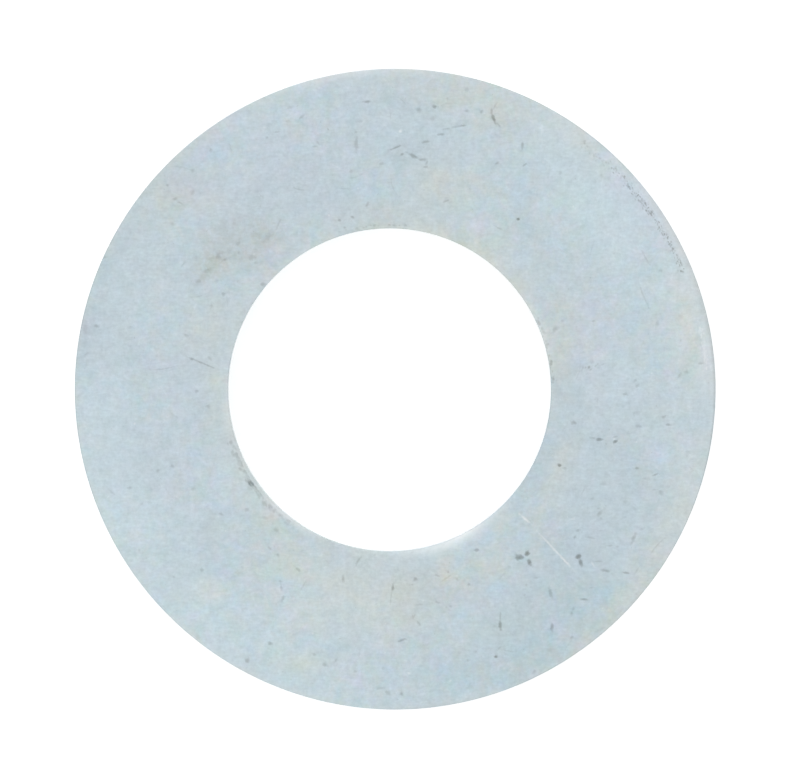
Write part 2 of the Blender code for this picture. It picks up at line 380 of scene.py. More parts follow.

# Painted highlight on a stretch of a rolled edge, lighter than the face where the lip reflects the light.
# centre and spread in degrees round the edge, level from 0 to 1, reach inward from the edge in millimetres.
EdgeHighlight = namedtuple("EdgeHighlight", "about centre spread level reach")
EDGE_HIGHLIGHT_DROP = 0.3 * MM           # how far down the wall it fades
EDGE_HIGHLIGHTS = [
    EdgeHighlight("hole", 294.0, 15.0, 0.60, 0.30),
    EdgeHighlight("hole", 296.0, 9.0, 1.00, 0.17),
    EdgeHighlight("hole", 22.0, 12.0, 0.22, 0.20),
    EdgeHighlight("hole", 127.0, 10.0, 0.12, 0.20),
    EdgeHighlight("hole", 187.0, 9.0, 0.20, 0.20),
    EdgeHighlight("hole", 205.0, 9.0, 0.13, 0.16),
    EdgeHighlight("hole", 231.0, 13.0, 0.32, 0.18),
    EdgeHighlight("rim", 98.0, 15.0, 0.26, 0.25),
    EdgeHighlight("rim", 30.0, 20.0, 0.30, 0.22),
    EdgeHighlight("rim", 6.0, 10.0, 0.20, 0.34),
    EdgeHighlight("rim", 247.0, 20.0, 0.06, 0.20),
]


def hole_of(node):
    """The centre and radius of the hole: the wall vertices nearest to the stated opening's middle."""
    openings = frame["record"]["physics"]["openings"]
    low, high = next(opening["box_m"] for opening in openings if opening["name"] == "bolt_hole")
    middle = np.array([0.5 * (low[0] + high[0]), 0.5 * (low[1] + high[1])])
    spots = np.array([v.co[:2] for v in frame["nodes"][node].data.vertices])
    reach = np.linalg.norm(spots - middle, axis=1)
    return middle, float(reach.min())


HOLE_CENTRE, HOLE_RADIUS = hole_of(NODE)


# ---------------------------------------------------------------- shape

def swell(angle, centre, spread):
    """1 at the angle `centre`, falling smoothly to 0 about `spread` to either side. Degrees."""
    away = (np.degrees(angle) - centre + 180.0) % 360.0 - 180.0
    return np.exp(-(away / spread) ** 2)


def ring_noise(angles, waves, seed):
    """Noise that joins up round the ring, with about `waves` swings in a turn."""
    reach = waves / math.tau
    return np.array([noise.noise(Vector((reach * math.cos(a), reach * math.sin(a), seed))) for a in angles])


def wall_noise(angles, heights, grain, seed):
    """Noise over a sheared wall, whose features are about `grain` metres across."""
    reach = OUTER_RADIUS / grain
    values = [noise.noise(Vector((reach * math.cos(a), reach * math.sin(a), seed + h / grain)))
              for a, h in zip(angles, heights)]
    return np.array(values)


def face_noise(spots, grain, seed):
    """Noise over the upper face, whose features are about `grain` metres across."""
    return np.array([noise.noise(Vector((x / grain, y / grain, seed))) for x, y in spots])


def lip_width(angles, plain, waves, seed, bulges):
    """Width of a rolled lip: `plain`, a little uneven, and wider at its bulges."""
    width = plain * (1.0 + ROLL_UNEVENNESS * ring_noise(angles, waves, seed))
    for bulge in bulges:
        width += bulge.width * MM * swell(angles, bulge.centre, bulge.spread)
    return width


def rim_roll(angles):
    """Width of the rim's rolled lip: wider to the upper right, where the clearance was loose."""
    return lip_width(angles, RIM_ROLL, 9.0, 3.1, RIM_BULGES)


def hole_roll(angles):
    """Width of the hole's rolled lip: broad at the lower right, bruised at the lower left."""
    return lip_width(angles, HOLE_ROLL, 7.0, 8.7, HOLE_BULGES)


def hole_roll_depth(angles):
    """How far the hole's lip drops: it is gentle, but for the steeper middle of the broad part."""
    return hole_roll(angles) * (HOLE_ROLL_DROP + HOLE_ROLL_STEEPER * swell(angles, 294.0, 12.0))


def sheared_wall(angles, roll_width, roll_depth, seed):
    """Rows down a sheared wall, from the upper face to the lower one.

    Each row is (inset into the steel, height, land, torn), all arrays over the angles.  The land is
    the smooth burnished band, and the torn band under it is rough and leans into the steel.
    """
    zero = np.zeros_like(angles)
    one = np.ones_like(angles)
    land_foot = LAND_FOOT + THICKNESS * (
        LAND_WANDER * ring_noise(angles, 16.0, seed) + LAND_FRAY * ring_noise(angles, 90.0, seed + 2.0))
    rows = []
    lean = np.arctan(ROLL_CURVE * roll_depth / roll_width)
    nose = NOSE_RADIUS * (1.0 - np.sin(lean))
    for step in range(ROLL_STEPS + 1):
        share = step / ROLL_STEPS
        inset = nose + (roll_width - nose) * (1.0 - share)
        height = THICKNESS - roll_depth * share ** ROLL_CURVE
        rows.append((inset, height, ROLL_LAND * one * share, zero))
    for step in range(1, NOSE_STEPS + 1):
        share = step / NOSE_STEPS
        turn = lean + (0.5 * math.pi - lean) * share
        drop = NOSE_RADIUS * (np.cos(lean) - np.cos(turn))
        rows.append((NOSE_RADIUS * (1.0 - np.sin(turn)), THICKNESS - roll_depth - drop,
                     one * (ROLL_LAND + (1.0 - ROLL_LAND) * share), zero))
    roll_foot = THICKNESS - roll_depth - NOSE_RADIUS * np.cos(lean)
    for step in range(1, LAND_STEPS + 1):
        share = step / LAND_STEPS
        rows.append((zero, roll_foot + (land_foot - roll_foot) * share, one, zero))
    for step in range(1, TORN_STEPS + 1):
        share = step / TORN_STEPS
        height = land_foot + (FOOT_ROUND - land_foot) * share
        rough = wall_noise(angles, height, TORN_GRAIN, seed)
        rough = rough + 0.6 * wall_noise(angles, height, TORN_FINE_GRAIN, seed)
        step_in = TORN_LEDGE + TORN_DEPTH * (0.5 + rough)
        rows.append((TORN_SLOPE * share + step_in * math.sin(math.pi * min(share * 2.0, 0.5)),
                     height, zero, one))
    for step in range(1, FOOT_STEPS + 1):
        turn = 0.5 * math.pi * step / FOOT_STEPS
        inset = TORN_SLOPE + FOOT_ROUND * (1.0 - math.cos(turn)) + TORN_LEDGE
        rows.append((inset + zero, FOOT_ROUND * (1.0 - math.sin(turn)) + zero, zero, zero))
    return rows


def on_rim(angles, inset):
    """Points on the rim, `inset` inside it."""
    radius = OUTER_RADIUS - inset
    return np.stack([radius * np.cos(angles), radius * np.sin(angles)], axis=1)


def on_hole(angles, inset):
    """Points round the hole, `inset` into the steel from its wall."""
    radius = HOLE_RADIUS + inset
    return np.stack([radius * np.cos(angles), radius * np.sin(angles)], axis=1) + HOLE_CENTRE


def face_rows(inner, outer, height, steps):
    """Rows across a flat face between two closed outlines, without the outlines themselves."""
    flat = np.full(len(inner), height)
    zero = np.zeros(len(inner))
    return [(inner + (outer - inner) * step / steps, flat, zero, zero) for step in range(1, steps)]


def ring_rows():
    """The ring's whole section as rows of (xy, z, land, torn), out over the top and back underneath."""
    angles = np.linspace(0.0, math.tau, TURN_STEPS, endpoint=False)
    rim = [(on_rim(angles, i), h, land, torn) for i, h, land, torn in
           sheared_wall(angles, rim_roll(angles), RIM_ROLL_DROP * rim_roll(angles), 5.3)]
    hole = [(on_hole(angles, i), h, land, torn) for i, h, land, torn in
            sheared_wall(angles, hole_roll(angles), hole_roll_depth(angles), 21.9)]
    upper = face_rows(hole[0][0], rim[0][0], THICKNESS, UPPER_STEPS)
    lower = face_rows(rim[-1][0], hole[-1][0], 0.0, LOWER_STEPS)
    return upper + rim + lower + hole[::-1]


def points_of(mesh):
    """The mesh's vertices as rows of (x, y, z)."""
    points = np.zeros(len(mesh.vertices) * 3)
    mesh.vertices.foreach_get("co", points)
    return points.reshape(-1, 3)


def store(mesh, name, values):
    """Keep one number for each vertex as an attribute, for the material to read."""
    layer = mesh.attributes.new(name, 'FLOAT', 'POINT')
    layer.data.foreach_set("value", values.astype(np.float32))


def ring_mesh():
    """The closed ring, all quads, with its land and torn zones as attributes."""
    rows = ring_rows()
    points = np.concatenate([np.column_stack([xy, z + LOW.z]) for xy, z, _, _ in rows])
    count = len(rows)
    faces = []
    for row in range(count):
        near = row * TURN_STEPS
        far = ((row + 1) % count) * TURN_STEPS
        for step in range(TURN_STEPS):
            onward = (step + 1) % TURN_STEPS
            faces.append((near + step, far + step, far + onward, near + onward))
    mesh = bpy.data.meshes.new(PIECE)
    mesh.from_pydata(points.tolist(), [], faces)
    store(mesh, "land", np.concatenate([land for _, _, land, _ in rows]))
    store(mesh, "torn", np.concatenate([torn for _, _, _, torn in rows]))
    return mesh


# ---------------------------------------------------------------- wear

def scattered_marks():
    """Small random wear: fine pits, hairlines in no particular direction, and bright specks."""
    draw = random.Random(WEAR_SEED)
    marks = []
    kinds = ["pit"] * SCATTERED_PITS + ["hairline"] * SCATTERED_HAIRLINES + ["glint"] * SCATTERED_GLINTS
    for kind in kinds:
        angle = draw.uniform(0.0, math.tau)
        radius = math.sqrt(draw.uniform(WEAR_FROM ** 2, WEAR_TO ** 2))
        x = radius * math.cos(angle)
        y = radius * math.sin(angle)
        turn = draw.uniform(0.0, 180.0)
        if kind == "pit":
            size = draw.uniform(*PIT_SIZES)
            dark = 0.15 + 0.40 * draw.random() ** 2
            marks.append(Mark(x, y, size * draw.uniform(1.0, 1.9), size, turn, PIT_DEPTH, dark))
        elif kind == "hairline":
            length = draw.uniform(*HAIRLINE_LENGTHS)
            dark = draw.choice(HAIRLINE_DARKS)
            bend = draw.uniform(-0.5, 0.5)
            marks.append(Mark(x, y, length, HAIRLINE_WIDTH, turn, HAIRLINE_DEPTH, dark, bend))
        else:
            size = draw.uniform(*GLINT_SIZES)
            marks.append(Mark(x, y, size, size, turn, GLINT_DEPTH, -draw.uniform(0.15, 0.36)))
    return marks


def crease_marks():
    """The small dents of every crease, strung along its arc."""
    draw = random.Random(WEAR_SEED + 1)
    marks = []
    for crease in CREASES:
        centre = HOLE_CENTRE / MM if crease.about == "hole" else (0.0, 0.0)
        for _ in range(crease.count):
            angle = draw.uniform(crease.start, crease.stop)
            radius = crease.radius + draw.gauss(0.0, crease.spread)
            size = crease.size * draw.uniform(0.6, 1.6)
            marks.append(Mark(
                centre[0] + radius * math.cos(math.radians(angle)),
                centre[1] + radius * math.sin(math.radians(angle)),
                size * crease.stretch, size, angle + 90.0 + draw.uniform(-25.0, 25.0),
                crease.depth, crease.dark * draw.uniform(0.4, 1.2)))
    return marks


def mark_reach(spots, mark):
    """How far each spot is from the mark's middle: 0 there, 1 on its outline, more beyond."""
    turn = math.radians(mark.turn)
    away = (spots - np.array([mark.x, mark.y]) * MM) / MM
    along = away[:, 0] * math.cos(turn) + away[:, 1] * math.sin(turn)
    across = away[:, 1] * math.cos(turn) - away[:, 0] * math.sin(turn) - mark.bend * along ** 2
    return np.hypot(along / (0.5 * mark.length), across / (0.5 * mark.width))


def refine_at_marks(mesh, marks):
    """Divide the upper face finely wherever a mark will press into it."""
    grid = bmesh.new()
    grid.from_mesh(mesh)
    upper = [face for face in grid.faces if min(v.co.z for v in face.verts) > HIGH.z - FACE_SLACK]
    middles = np.array([face.calc_center_median()[:2] for face in upper])
    wanted = np.zeros(len(upper), bool)
    for mark in marks:
        room = mark._replace(length=mark.length + MARK_ROOM, width=mark.width + MARK_ROOM)
        wanted |= mark_reach(middles, room) < 1.0
    chosen = {edge for face, want in zip(upper, wanted) if want for edge in face.edges}
    bmesh.ops.subdivide_edges(grid, edges=list(chosen), cuts=MARK_CUTS, use_grid_fill=True)
    many_sided = [face for face in grid.faces if len(face.verts) > 4]
    bmesh.ops.triangulate(grid, faces=many_sided)
    grid.to_mesh(mesh)
    grid.free()


def press_marks(mesh, marks):
    """Push every mark into the upper face, and note its darkness or brightness as attributes."""
    points = points_of(mesh)
    upper = points[:, 2] > HIGH.z - FACE_SLACK
    spots = points[upper, :2]
    wobble = face_noise(spots, RAGGED_GRAIN, 4.0)
    drop = WAVE_DEPTH * (0.6 + face_noise(spots, WAVE_GRAIN, 9.0))
    dark = np.zeros(len(spots))
    bright = np.zeros(len(spots))
    for mark in marks:
        reach = mark_reach(spots, mark) * (1.0 + RAGGEDNESS * wobble)
        bowl = np.clip(1.0 - (0.85 * reach) ** 2, 0.0, 1.0)
        drop += mark.depth * MM * bowl ** 1.5
        shade = bowl * abs(mark.dark)
        if mark.dark > 0.0:
            dark = np.maximum(dark, shade)
        else:
            bright = np.maximum(bright, shade)
    whole_dark = np.zeros(len(points))
    whole_dark[upper] = dark
    whole_bright = painted_edge_highlight(points)
    # painted highlight where the rolled edges reflect the light, with the lighter marks laid over it
    whole_bright[upper] = np.maximum(whole_bright[upper], bright)
    points[upper, 2] -= np.maximum(drop, 0.0)
    mesh.vertices.foreach_set("co", points.ravel())
    store(mesh, "dark", whole_dark)
    store(mesh, "bright", whole_bright)


def painted_edge_highlight(points):
    """How strong the painted highlight is at each point, laid along the rolled edges of the upper face."""
    from_hole = points[:, :2] - HOLE_CENTRE
    below = np.exp(-(HIGH.z - points[:, 2]) / EDGE_HIGHLIGHT_DROP)
    values = np.zeros(len(points))
    for highlight in EDGE_HIGHLIGHTS:
        away = from_hole if highlight.about == "hole" else points[:, :2]
        radius = np.linalg.norm(away, axis=1)
        into = radius - HOLE_RADIUS if highlight.about == "hole" else OUTER_RADIUS - radius
        near = np.exp(-(np.maximum(into, 0.0) / (highlight.reach * MM)) ** 2)
        round_edge = swell(np.arctan2(away[:, 1], away[:, 0]), highlight.centre, highlight.spread)
        values = np.maximum(values, highlight.level * near * round_edge * below)
    return values


# ---------------------------------------------------------------- tints of the plate

# Patch: a cloud of tint. x, y, along and across in millimetres, turn in degrees, strength about 0 to 1.
Patch = namedtuple("Patch", "x y along across turn strength")

TINTS = {
    "light": [
        Patch(8.7, 8.3, 5.0, 1.9, -50, 1.0),
        Patch(12.3, 2.5, 3.0, 0.9, 97, 0.65),
        Patch(-11.8, -5.0, 4.0, 1.7, -67, 1.0),
        Patch(-6.5, -10.2, 4.0, 2.1, -33, 1.0),
        Patch(-2.5, -9.2, 1.8, 1.2, 0, 0.3),
        Patch(-4.0, 4.8, 1.0, 0.5, 50, 0.3),
        Patch(12.0, -2.3, 2.2, 1.0, 90, 0.35),
        Patch(11.0, 4.6, 1.5, 1.1, 0, 0.5),
        Patch(-12.0, -1.0, 2.5, 0.9, 90, 0.4),
        Patch(-8.8, -8.2, 2.0, 1.2, -45, 0.1),
        Patch(9.3, -6.6, 1.8, 1.0, -60, 0.4),
    ],
    "shade": [
        Patch(6.2, -9.4, 4.2, 2.0, 38, 0.9),
        Patch(9.0, -4.0, 3.0, 1.8, 65, 0.5),
        Patch(8.5, -2.1, 1.1, 0.6, 0, 0.6),
        Patch(6.4, -11.0, 2.0, 0.8, 28, 0.5),
        Patch(-0.5, 10.5, 4.0, 2.0, 0, 0.3),
        Patch(-12.2, 5.0, 1.6, 0.6, 68, 0.5),
        Patch(-8.2, 10.2, 1.8, 0.7, 38, 0.3),
        Patch(0.5, -8.4, 2.6, 0.9, 0, 0.40),
        Patch(6.3, -2.7, 1.4, 0.35, 67, 0.8),
        Patch(-13.0, 2.6, 0.9, 0.5, 80, 1.0),
        Patch(-8.8, 1.0, 1.3, 0.6, 0, 0.5),
        Patch(0.8, 9.8, 1.5, 0.5, 0, 0.5),
        Patch(-3.4, 9.0, 2.6, 1.6, 20, 0.12),
        Patch(-9.2, 8.3, 1.4, 1.0, 45, 0.3),
        Patch(-6.3, 7.9, 1.5, 0.7, 20, 0.3),
        Patch(7.3, 0.2, 2.6, 0.6, 90, 0.5),
    ],
    "straw": [
        Patch(2.0, 8.6, 1.3, 0.9, 0, 1.0),
        Patch(3.2, 12.3, 2.8, 0.9, -15, 0.85),
        Patch(4.6, 10.8, 1.2, 0.8, 0, 0.25),
        Patch(7.8, 10.5, 1.5, 0.5, -37, 0.6),
        Patch(-9.5, 7.6, 1.0, 0.6, 45, 0.5),
        Patch(-7.7, 8.0, 0.8, 0.5, 0, 0.4),
        Patch(6.5, 3.0, 1.0, 0.35, 65, 0.5),
        Patch(-5.4, -5.6, 1.6, 0.4, -45, 0.6),
        Patch(5.9, -5.2, 1.4, 0.4, 45, 0.6),
        Patch(11.4, -1.0, 0.7, 0.5, 0, 0.6),
        Patch(-3.4, -9.5, 1.6, 0.7, 10, 0.65),
        Patch(-9.9, 8.2, 1.2, 0.5, 45, 0.45),
        Patch(12.2, 3.1, 2.3, 0.7, 100, 0.30),
        Patch(12.2, -3.9, 1.6, 0.6, 70, 0.5),
        Patch(11.1, -6.6, 2.4, 0.6, 60, 0.7),
        Patch(9.3, -9.3, 2.2, 0.4, 45, 0.5),
        Patch(7.3, -11.3, 1.8, 0.35, 32, 0.75),
        Patch(-7.9, 2.5, 1.4, 0.8, 60, 0.6),
        Patch(-7.6, 0.0, 1.5, 0.5, 90, 0.35),
        Patch(-1.0, -8.5, 3.2, 1.0, -4, 0.8),
        Patch(2.6, -7.8, 1.8, 0.6, 20, 0.7),
        Patch(-4.2, -7.5, 1.5, 0.7, -20, 0.45),
        Patch(0.2, -9.8, 1.6, 0.7, 0, 0.45),
        Patch(-8.0, -8.6, 0.7, 0.5, 0, 0.6),
        Patch(-4.0, -11.5, 1.2, 0.5, 0, 0.6),
        Patch(7.2, 2.0, 2.2, 0.5, 80, 0.55),
        Patch(6.9, -3.2, 1.4, 0.4, 60, 0.7),
    ],
    "buff": [
        Patch(12.25, 3.4, 2.4, 0.8, 100, 1.0),
        Patch(12.6, 0.8, 1.2, 0.5, 90, 0.4),
    ],
    "pink": [
        Patch(8.1, 2.2, 0.9, 1.9, 0, 0.9),
        Patch(10.3, 7.8, 3.0, 0.7, -53, 1.1),
        Patch(-5.5, 9.6, 4.0, 2.2, 30, 0.5),
        Patch(-9.6, -1.5, 1.4, 4.0, 0, 0.4),
        Patch(-8.7, 8.5, 0.9, 0.6, 0, 0.7),
        Patch(-5.3, 5.2, 0.8, 0.5, 40, 0.5),
        Patch(-7.1, 6.8, 0.9, 0.4, 20, 0.5),
        Patch(-6.8, 4.9, 0.6, 0.4, 0, 0.5),
        Patch(-12.9, 2.7, 0.6, 0.4, 80, 0.8),
    ],
    "green": [
        Patch(7.4, 7.8, 0.9, 0.7, 0, 0.55),
        Patch(-4.2, -11.7, 1.0, 0.4, 0, 0.7),
        Patch(-11.2, -6.5, 2.4, 1.0, -60, 0.35),
        Patch(-6.8, -10.3, 2.5, 1.2, -33, 0.15),
        Patch(8.0, 8.5, 2.2, 1.4, -50, 0.15),
        Patch(5.0, -10.2, 1.2, 0.8, 0, 0.4),
    ],
    "teal": [
        Patch(8.4, -8.7, 1.7, 0.9, 10, 0.9),
        Patch(3.4, -12.1, 1.9, 0.7, 10, 0.8),
        Patch(-12.6, 4.9, 1.3, 0.6, 70, 0.8),
        Patch(5.8, -10.9, 1.5, 0.8, 0, 0.4),
    ],
    "brown": [
        Patch(-6.6, 6.0, 2.0, 1.1, 22, 0.62),
        Patch(-7.5, 5.4, 0.6, 0.5, 20, 0.5),
        Patch(-5.4, 6.4, 0.6, 0.4, 20, 0.5),
        Patch(-6.2, 5.6, 0.7, 0.4, 0, 0.4),
        Patch(-8.2, 4.8, 0.7, 0.4, 50, 0.6),
        Patch(-7.2, 6.7, 1.2, 0.6, 10, 0.35),
        Patch(-0.4, 7.3, 1.1, 0.35, 0, 0.5),
        Patch(6.75, 0.6, 1.5, 0.25, 90, 0.1),
        Patch(-9.0, 8.2, 0.7, 0.6, 30, 0.3),
        Patch(4.25, 11.5, 0.5, 0.7, 0, 0.3),
    ],
}


# The straw stain that follows the edges
HOLE_HALO_REACH = 0.50 * MM
HOLE_HALO_LEVEL = 0.72
RIM_HALO_REACH = 0.15 * MM
RIM_HALO_LEVEL = 0.45

TINT_LIMIT = 1.3


def cloud(spots, patch):
    """A soft-edged oval cloud."""
    room = Mark(patch.x, patch.y, 2.0 * patch.along, 2.0 * patch.across, patch.turn, 0.0, 0.0)
    return patch.strength * np.exp(-mark_reach(spots, room) ** 2)


def hole_halo(spots):
    """Straw-coloured stain that crept out from the hole's edge, where the rinse dried."""
    away = spots - HOLE_CENTRE
    out = np.linalg.norm(away, axis=1) - HOLE_RADIUS
    angles = np.arctan2(away[:, 1], away[:, 0])
    patchy = HOLE_HALO_LEVEL + 0.35 * ring_noise(angles, 10.0, 31.0)
    patchy += 0.80 * swell(angles, 56.0, 40.0) - 0.85 * swell(angles, 333.0, 42.0)
    patchy -= 0.40 * swell(angles, 125.0, 22.0) + 0.30 * swell(angles, 293.0, 18.0)
    return np.clip(patchy, 0.0, 1.6) * np.exp(-np.clip(out, 0.0, None) / HOLE_HALO_REACH)


def rim_halo(spots):
    """A trace of the same stain at the very edge of the rim."""
    inset = OUTER_RADIUS - np.linalg.norm(spots, axis=1)
    return RIM_HALO_LEVEL * np.exp(-np.clip(inset, 0.0, None) / RIM_HALO_REACH)


def tint_plate(mesh):
    """Lay the tint clouds down as attributes of the mesh."""
    spots = points_of(mesh)[:, :2]
    for name, patches in TINTS.items():
        values = sum(cloud(spots, patch) for patch in patches)
        if name == "straw":
            values = values + hole_halo(spots) + rim_halo(spots)
        store(mesh, name, np.clip(values, 0.0, TINT_LIMIT))


# ---------------------------------------------------------------- material

PLATE_COLOUR = (0.5660, 0.6620, 0.7170, 1.0)
# What each tint at its fullest does to the plate's red, green and blue
TINT_FACTORS = {
    "light": (1.045, 1.055, 1.055, 1.0),
    "shade": (0.935, 0.940, 0.945, 1.0),
    "teal": (0.925, 0.985, 0.985, 1.0),
    "green": (0.985, 1.025, 0.960, 1.0),
    "pink": (1.040, 0.985, 1.015, 1.0),
    "straw": (1.110, 1.020, 0.910, 1.0),
    "buff": (1.045, 1.000, 0.955, 1.0),
    "brown": (0.895, 0.855, 0.790, 1.0),
}
EVEN_TINTS = ("light", "shade", "buff")     # the brown is blotchy, and the others are ragged
DARK_COLOUR = (0.165, 0.165, 0.135, 1.0)
# lighter marks and flecks, and the painted highlight on the rolled edges
BRIGHT_COLOUR = (0.980, 0.985, 0.985, 1.0)
TORN_COLOUR = (0.36, 0.41, 0.43, 1.0)

# Sizes of the plate's clouding, from broad to fine, and of the marks of shearing on its walls
BUSY_SIZE = 3.2 * MM
BROAD_SIZE = 2.4 * MM
DRIFT_SIZE = 1.8 * MM
RAGGED_SIZE = 1.1 * MM
HUE_SIZE = 0.8 * MM
MOTTLE_SIZE = 0.50 * MM
BLOTCH_SIZE = 0.32 * MM
GRAIN_SIZE = 0.16 * MM
STREAK_SIZE = 0.09 * MM
TEAR_SIZE = 0.26 * MM
DRAWN_SIZE = 0.15 * MM
BUMP_HEIGHT = 0.012 * MM


class Nodes:
    """A short way to write a node tree."""

    def __init__(self, tree):
        self.tree = tree

    def add(self, kind, **settings):
        made = self.tree.nodes.new(kind)
        for name, value in settings.items():
            setattr(made, name, value)
        return made

    def put(self, socket, value):
        """Set a socket to a number or colour, or link it to another node's output."""
        if isinstance(value, bpy.types.NodeSocket):
            self.tree.links.new(value, socket)
        else:
            socket.default_value = value

    def math(self, operation, first, second=0.0, clamp=False):
        made = self.add("ShaderNodeMath", operation=operation, use_clamp=clamp)
        self.put(made.inputs[0], first)
        self.put(made.inputs[1], second)
        return made.outputs[0]

    def mix(self, factor, first, second, blend='MIX'):
        made = self.add("ShaderNodeMix", data_type='RGBA', blend_type=blend)
        self.put(made.inputs[0], factor)
        self.put(made.inputs[6], first)
        self.put(made.inputs[7], second)
        return made.outputs[2]

    def spread(self, value, low, high, to_low=0.0, to_high=1.0):
        made = self.add("ShaderNodeMapRange")
        for socket, number in zip(made.inputs[:5], (value, low, high, to_low, to_high)):
            self.put(socket, number)
        return made.outputs[0]

    def vary(self, colour, value, darkest, lightest):
        """Multiply a colour by a noise, spread from `darkest` to `lightest`."""
        return self.mix(1.0, colour, self.spread(value, 0.3, 0.7, darkest, lightest), 'MULTIPLY')

    def stretch(self, place, scale):
        """The place, scaled along each axis."""
        made = self.add("ShaderNodeMapping")
        self.put(made.inputs["Vector"], place)
        made.inputs["Scale"].default_value = scale
        return made.outputs[0]

    def attribute(self, name):
        return self.add("ShaderNodeAttribute", attribute_name=name).outputs["Fac"]

    def noise(self, place, size, detail=3.0, roughness=0.5, distortion=0.0, seed=0.0):
        """Noise whose features are about `size` metres across."""
        made = self.add("ShaderNodeTexNoise", noise_dimensions='4D')
        self.put(made.inputs["Vector"], place)
        made.inputs["W"].default_value = seed
        made.inputs["Scale"].default_value = 1.0 / size
        made.inputs["Detail"].default_value = detail
        made.inputs["Roughness"].default_value = roughness
        made.inputs["Distortion"].default_value = distortion
        return made.outputs["Fac"]


def streaky(n, place):
    """Short wavy streaks, mostly along X, from the steel's rolling and the plating's flow."""
    drift = n.add("ShaderNodeTexNoise")
    n.put(drift.inputs["Vector"], place)
    drift.inputs["Scale"].default_value = 1.0 / DRIFT_SIZE
    drift.inputs["Detail"].default_value = 1.0
    bent = n.add("ShaderNodeVectorMath", operation='MULTIPLY_ADD')
    n.put(bent.inputs[0], drift.outputs["Color"])
    bent.inputs[1].default_value = (0.5 * MM, 0.5 * MM, 0.0)
    n.put(bent.inputs[2], place)
    return n.noise(n.stretch(bent.outputs[0], (0.3, 1.0, 1.0)), STREAK_SIZE, 2.0, 0.55, seed=11.0)


def tinted(n, place):
    """The plate's colour under its tints: a few lie evenly, the brown is blotchy, the rest ragged."""
    ragged = n.spread(n.noise(place, RAGGED_SIZE, 4.0, 0.60, 0.6, seed=4.0), 0.34, 0.60, 0.35, 1.0)
    blotch = n.spread(n.noise(place, BLOTCH_SIZE, 4.0, 0.65, 0.5, seed=5.0), 0.38, 0.60, 0.35, 1.0)
    colour = PLATE_COLOUR
    for name, factor in TINT_FACTORS.items():
        amount = n.attribute(name)
        if name == "brown":
            amount = n.math('MULTIPLY', amount, blotch)
        elif name not in EVEN_TINTS:
            amount = n.math('MULTIPLY', amount, ragged)
        colour = n.mix(amount, colour, factor, 'MULTIPLY')
    return colour


def clouded(n, place, colour, mottle, grain):
    """The plate's faint changes of hue and lightness, its streaks, and its dark and bright flecks."""
    reddish = n.noise(place, HUE_SIZE, 3.0, 0.62, 0.6, seed=9.0)
    bluish = n.noise(place, HUE_SIZE, 3.0, 0.62, 0.6, seed=10.0)
    hue = n.add("ShaderNodeCombineColor")
    n.put(hue.inputs[0], n.spread(reddish, 0.3, 0.7, 0.922, 1.078))
    hue.inputs[1].default_value = 1.0
    n.put(hue.inputs[2], n.spread(bluish, 0.3, 0.7, 0.922, 1.062))
    busy = n.spread(n.noise(place, BUSY_SIZE, 1.0, seed=12.0), 0.40, 0.60, 0.35, 1.0)
    colour = n.mix(busy, colour, hue.outputs[0], 'MULTIPLY')
    colour = n.vary(colour, n.noise(place, BROAD_SIZE, 3.0, 0.55, 0.4, seed=1.0), 0.975, 1.025)
    colour = n.vary(colour, mottle, 0.930, 1.070)
    colour = n.vary(colour, grain, 0.943, 1.057)
    colour = n.vary(colour, streaky(n, place), 0.965, 1.035)
    flecks = n.noise(place, GRAIN_SIZE, 2.0, seed=6.0)
    colour = n.mix(n.spread(flecks, 0.68, 0.80, 0.0, 0.30), colour, DARK_COLOUR)
    return n.mix(n.spread(flecks, 0.32, 0.20, 0.0, 0.25), colour, BRIGHT_COLOUR)


